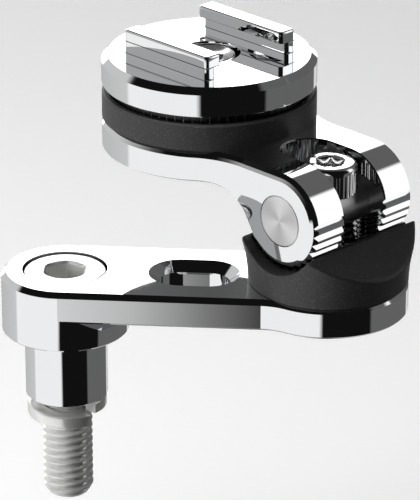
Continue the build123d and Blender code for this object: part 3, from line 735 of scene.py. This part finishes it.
class MOUNT_OT_case_rails(bpy.types.Operator):
    """Makes the two hooked rails that hold the case, with rounded edges and a fine parting ridge"""

    bl_idname = "mount.case_rails"
    bl_label = "Case rails"

    def rail_rings(self, rows, half_length):
        """Rings of a rail: each row is (height, inner side, outer side, corner radius, end inset).

        A ring is a rectangle with four quarter-round corners, in (along, across, height).
        """
        quarter = np.linspace(0, pi / 2, 6)
        rings = []
        for height, inner, outer, round_, inset in rows:
            ends = half_length - inset - round_
            corners = [
                (ends, outer - round_, 0), (-ends, outer - round_, 1),
                (-ends, inner + round_, 2), (ends, inner + round_, 3),
            ]
            ring = np.concatenate([
                np.stack([
                    along + round_ * np.cos(quarter + k * pi / 2),
                    across + round_ * np.sin(quarter + k * pi / 2),
                    np.full_like(quarter, height),
                ], axis=-1)
                for along, across, k in corners
            ])
            rings.append(ring)
        return np.stack(rings)

    def execute(self, context):
        axis = Vector(JOINTS["head_turn"]["pos_m"])
        tilt = Vector(JOINTS["yoke_tilt"]["axis"])
        half_length, outer, height = 9.3 * MM, 9.7 * MM, 3.8 * MM
        web, flange, under = 1.95 * MM, 3.2 * MM, 1.9 * MM
        corner, foot, edge = 0.6 * MM, 0.2 * MM, 0.4 * MM
        ridge, ridge_height = 0.1 * MM, 0.16 * MM
        web_in, flange_in = outer - web, outer - flange
        rows = [
            (-0.1 * MM, web_in - foot, outer + foot, corner, -foot),
            (0.0, web_in - foot, outer + foot, corner, -foot),
            (foot * 0.3, web_in - foot * 0.3, outer + foot * 0.3, corner, -foot * 0.3),
            (foot, web_in, outer, corner, 0),
            (under - ridge_height, web_in, outer, corner, 0),
            (under - ridge_height * 0.5, web_in - ridge, outer + ridge, corner, -ridge),
            (under, web_in, outer + ridge, corner, -ridge),
            (under, flange_in + 0.1 * MM, outer + ridge, corner, -ridge),
            (under + 0.1 * MM, flange_in, outer, corner, 0),
        ]
        for turn in np.linspace(0, pi / 2, 6):
            inset = edge * (1 - cos(turn))
            rise = height - edge + edge * sin(turn)
            rows.append((rise, flange_in + inset, outer - inset, corner - inset * 0.8, inset))
        local = self.rail_rings(rows, half_length)
        for name, side in (("case_rail_front", 1.0), ("case_rail_back", -1.0)):
            along, across = local[..., 0] * side, local[..., 1] * side
            x = axis.x - tilt.y * along - tilt.x * across
            y = axis.y + tilt.x * along - tilt.y * across
            z = axis.z + local[..., 2]
            piece = grid_piece(name, np.stack([x, y, z], axis=-1))
            finish_piece(piece, "head_plate", "chrome_plate", finish("chrome_plate"))
        return {"FINISHED"}


class MOUNT_OT_stage(bpy.types.Operator):
    """Sets the pale floor, the studio surroundings, the soft lights and the camera"""

    # The floor glows a little and is hidden from mirrors and matt surfaces, so it stays pale and
    # the chrome shows only the studio's bands.

    bl_idname = "mount.stage"
    bl_label = "Stage"

    # Brightness of the studio round the object, as (bearing from the camera in degrees, grey).
    LOW_BAND = [
        (-180, 0.1), (-166, 0.5), (-99, 0.62), (-95, 0.95), (-14, 0.95), (-12.8, 0.72), (-11.0, 0.5),
        (-9.0, 0.006), (61, 0.006), (64, 0.13), (148, 0.13), (152, 0.8), (168, 0.5), (180, 0.1),
    ]
    MIDDLE_BAND = [
        (-180, 3.0), (-152, 3.0), (-148, 0.6), (-110, 0.6), (-84, 0.35), (-66, 0.1), (-50, 0.006),
        (82, 0.006), (86, 1.2), (106, 1.2), (110, 0.12), (159, 0.12), (163, 3.0), (180, 3.0),
    ]
    HIGH_BAND = [(-180, 0.12), (-112, 0.12), (-106, 0.006), (78, 0.006), (84, 0.12), (180, 0.12)]

    def studio(self, scene, azimuth):
        """World light: three bands of grey by bearing, blended by height above the horizon."""
        world = bpy.data.worlds.new("studio")
        world.use_nodes = True
        scene.world = world
        tree = world.node_tree
        background = tree.nodes["Background"]
        place = add_node(tree, "ShaderNodeTexCoord")
        turned = add_node(
            tree, "ShaderNodeVectorRotate", [("Vector", place, "Generated")],
            rotation_type="Z_AXIS", Angle=-azimuth,
        )
        parts = add_node(tree, "ShaderNodeSeparateXYZ", [("Vector", turned, "Vector")])
        flipped = add_node(tree, "ShaderNodeMath", [(0, parts, "Y")], operation="MULTIPLY")
        flipped.inputs[1].default_value = -1.0
        angle = add_node(
            tree, "ShaderNodeMath", [(0, parts, "X"), (1, flipped, "Value")], operation="ARCTAN2"
        )
        bearing = add_node(
            tree, "ShaderNodeMapRange", [("Value", angle, "Value")],
            From_Min=-pi, From_Max=pi, To_Min=0.0, To_Max=1.0,
        )
        bands = [
            add_node(
                tree, "ShaderNodeValToRGB", [("Fac", bearing, "Result")],
                stops=[((spot + 180) / 360, grey) for spot, grey in band],
            )
            for band in (self.LOW_BAND, self.MIDDLE_BAND, self.HIGH_BAND)
        ]
        mixed = bands[0]
        output = "Color"
        for upper, low, high in ((bands[1], -14.0, -10.0), (bands[2], 36.0, 40.0)):
            share = add_node(
                tree, "ShaderNodeMapRange", [("Value", parts, "Z")],
                From_Min=sin(radians(low)), From_Max=sin(radians(high)),
            )
            mix = add_node(tree, "ShaderNodeMix", [("Factor", share, "Result")], data_type="RGBA")
            tree.links.new(mixed.outputs[output], mix.inputs["A"])
            tree.links.new(upper.outputs["Color"], mix.inputs["B"])
            mixed, output = mix, "Result"
        tree.links.new(mixed.outputs[output], background.inputs["Color"])

    def soft_light(self, scene, name, place, aim, size, power):
        """A square area light at place, turned to aim, that mirrors don't show."""
        light = bpy.data.lights.new(name, "AREA")
        light.energy = power
        light.size = size
        lamp = bpy.data.objects.new(name, light)
        lamp.location = place
        lamp.rotation_euler = (Vector(aim) - Vector(place)).to_track_quat("-Z", "Y").to_euler()
        lamp.visible_glossy = False
        scene.collection.objects.link(lamp)

    def execute(self, context):
        scene = context.scene
        azimuth, elevation = radians(4.867), radians(23.299)
        aim = Vector((22.797, 0.0, 29.155)) * MM
        distance = 533.117 * MM
        back = Vector((sin(azimuth) * cos(elevation), -cos(azimuth) * cos(elevation), sin(elevation)))
        lens = bpy.data.cameras.new("camera")
        lens.sensor_fit = "VERTICAL"
        lens.sensor_height = 36.0
        lens.lens = 246.82
        lens.clip_start = 0.01
        camera = bpy.data.objects.new("camera", lens)
        camera.location = aim + back * distance
        camera.rotation_euler = back.to_track_quat("Z", "Y").to_euler()
        scene.collection.objects.link(camera)
        scene.camera = camera
        scene.view_settings.view_transform = "Standard"
        self.studio(scene, azimuth)

        low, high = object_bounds()
        floor_height = low[2] - 30 * MM
        material = bpy.data.materials.new("floor_white")
        material.use_nodes = True
        shader = material.node_tree.nodes["Principled BSDF"]
        shader.inputs["Base Color"].default_value = (*hex_colour("fbfbfb"), 1)
        shader.inputs["Roughness"].default_value = 0.9
        shader.inputs["Emission Color"].default_value = (1, 1, 1, 1)
        shader.inputs["Emission Strength"].default_value = 0.2
        # The floor rises behind the object in a smooth sweep, the same on every side.
        angles = np.linspace(0, TURN, 96, endpoint=False)
        reach, rise = 1.6, 0.6
        sweep = np.linspace(0, pi / 2, 12)
        radii = np.concatenate([[0.01, reach], reach + rise * np.sin(sweep[1:])])
        heights = floor_height + np.concatenate([[0, 0], rise * (1 - np.cos(sweep[1:]))])
        middle = (Vector(low) + Vector(high)) / 2
        rings = np.stack([
            middle.x + radii[:, None] * np.cos(angles),
            middle.y + radii[:, None] * np.sin(angles),
            np.broadcast_to(heights[:, None], (len(radii), len(angles))),
        ], axis=-1)
        floor = grid_piece("floor", rings[::-1], smooth_angle=60.0)
        floor.data.polygons.foreach_set("use_smooth", [True] * len(floor.data.polygons))
        floor.data.materials.append(material)
        floor.visible_glossy = False
        floor.visible_diffuse = False
        floor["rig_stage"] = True
        above = Vector((middle.x, middle.y, high[2]))
        self.soft_light(scene, "soft_light_above", above + Vector((-0.25, -0.2, 0.8)), middle, 1.0, 42.0)
        self.soft_light(scene, "soft_light_left", above + Vector((-0.9, -0.6, 0.3)), middle, 0.8, 14.0)
        return {"FINISHED"}


OPERATORS = (
    MOUNT_OT_cad_finishes,
    MOUNT_OT_mounting_screw,
    MOUNT_OT_lock_washer,
    MOUNT_OT_clamp_screw,
    MOUNT_OT_head_screw,
    MOUNT_OT_index_ring,
    MOUNT_OT_saddle,
    MOUNT_OT_head_disc,
    MOUNT_OT_case_rails,
    MOUNT_OT_stage,
)


class MOUNT_PT_panel(bpy.types.Panel):
    """Lists the operators and the sizes in the 3D view's sidebar"""

    bl_idname = "MOUNT_PT_panel"
    bl_label = "Phone Mount"
    bl_space_type = "VIEW_3D"
    bl_region_type = "UI"
    bl_category = "Phone Mount"

    def draw(self, context):
        for operator in OPERATORS:
            self.layout.operator(operator.bl_idname)
        for group in (context.scene.mount_sizes, context.scene.mount_finishes):
            for name in group.__annotations__:
                self.layout.prop(group, name)


CLASSES = (MountSizes, MountFinishes, *OPERATORS, MOUNT_PT_panel)


def register():
    for item in CLASSES:
        bpy.utils.register_class(item)
    bpy.types.Scene.mount_sizes = PointerProperty(type=MountSizes)
    bpy.types.Scene.mount_finishes = PointerProperty(type=MountFinishes)


def unregister():
    del bpy.types.Scene.mount_finishes
    del bpy.types.Scene.mount_sizes
    for item in reversed(CLASSES):
        bpy.utils.unregister_class(item)


def main():
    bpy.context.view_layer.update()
    register()
    for operator in OPERATORS:
        group, name = operator.bl_idname.split(".")
        getattr(getattr(bpy.ops, group), name)()


if __name__ == "__main__":
    main()
